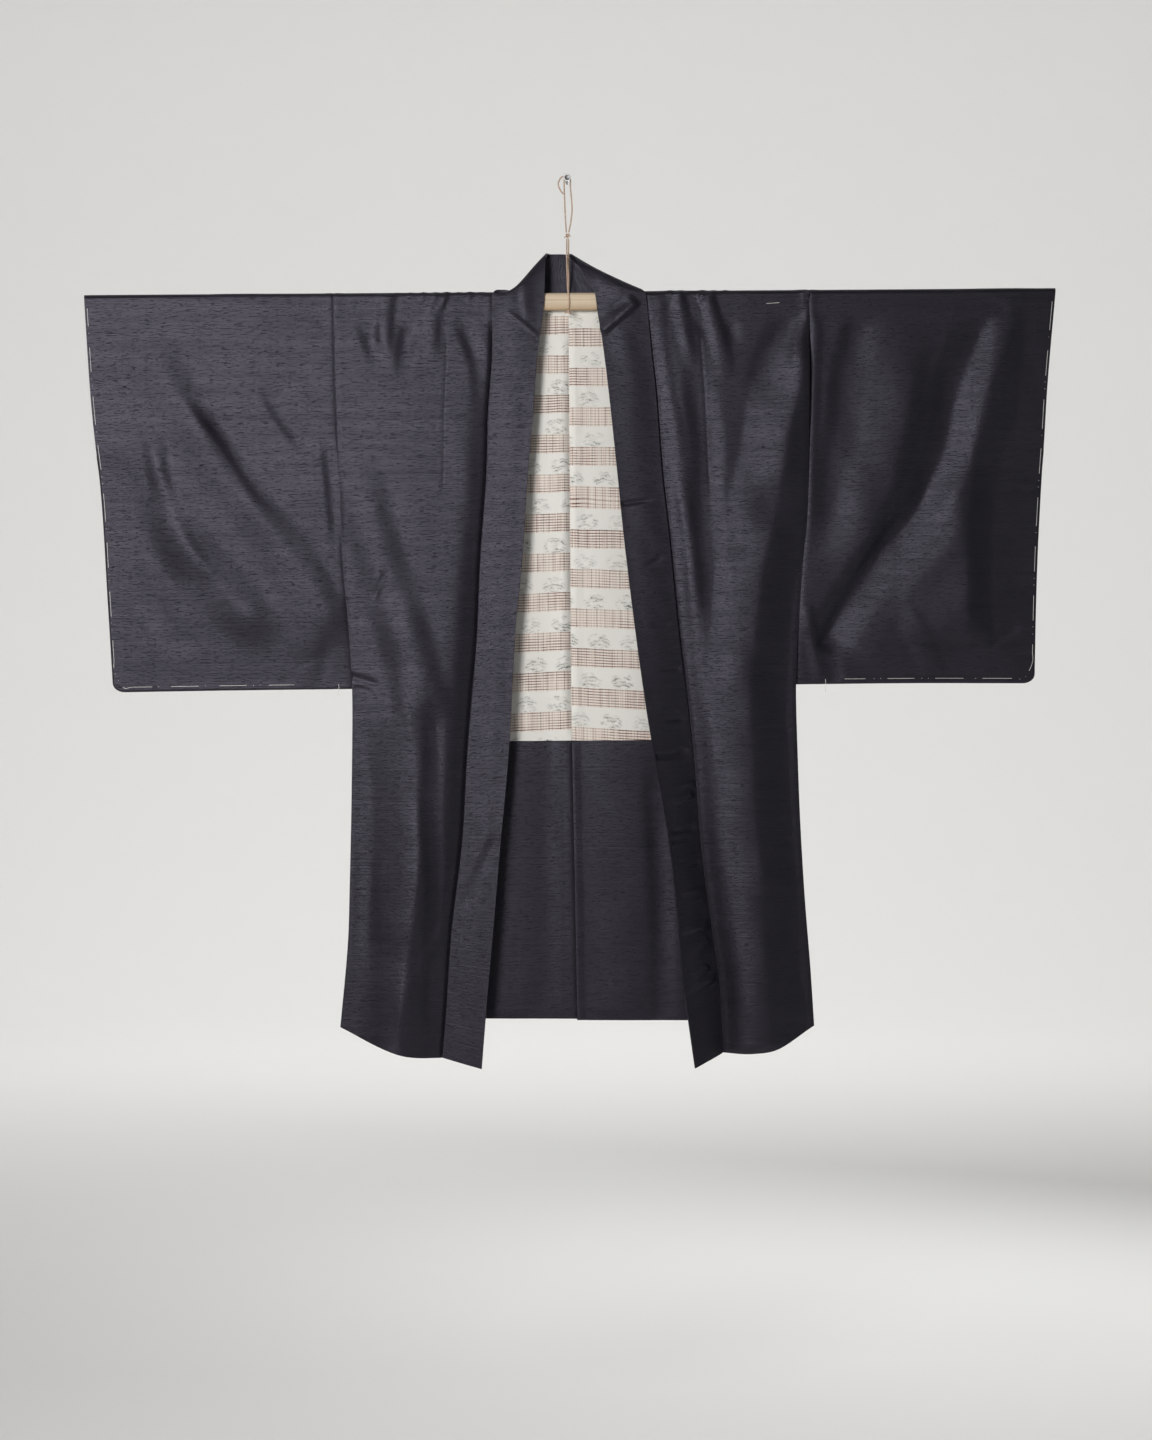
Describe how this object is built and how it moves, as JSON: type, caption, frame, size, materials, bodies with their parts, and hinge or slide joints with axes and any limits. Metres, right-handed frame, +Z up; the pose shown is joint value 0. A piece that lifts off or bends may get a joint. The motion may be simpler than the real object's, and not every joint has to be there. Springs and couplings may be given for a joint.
{
  "type": "haori jacket hung flat on a wooden slat from a wall nail",
  "caption": "Black silk haori jacket hung open and flat on a wooden slat, held by a knotted twine loop from a wall nail, with a pale patterned back lining.",
  "frame": {"origin": "centre of the nail's flat rear end, on the wall plane", "axes": "+X to the viewer's right along the slat, +Y into the wall, +Z up; the open fronts face -Y"},
  "size_m": [1.2987, 0.0502, 1.194],
  "materials": {
    "black_silk": "slubby pongee with a soft dull sheen",
    "lining_silk": "fine silk with plaid bands and faint pine sprigs",
    "slat_wood": "planed, unvarnished",
    "jute_twine": "two-ply twisted, matt",
    "nail_metal": "white enamelled head with a bare grey centre"
  },
  "bodies": {
    "root": {"body_right": "black_silk", "body_left": "black_silk", "sleeve_right": "black_silk", "sleeve_left": "black_silk", "gusset_right": "black_silk", "gusset_left": "black_silk", "collar": "black_silk", "hem_facing_right": "black_silk", "hem_facing_left": "black_silk", "lining_right": "lining_silk", "lining_left": "lining_silk", "hanger_rod": "slat_wood", "wall_nail": "nail_metal", "twine_nail_loop": "jute_twine", "twine_slack_turn": "jute_twine", "twine_front_strand": "jute_twine", "twine_back_strand": "jute_twine", "twine_knot_top": "jute_twine", "twine_knot_foot": "jute_twine"}
  },
  "joints": []
}
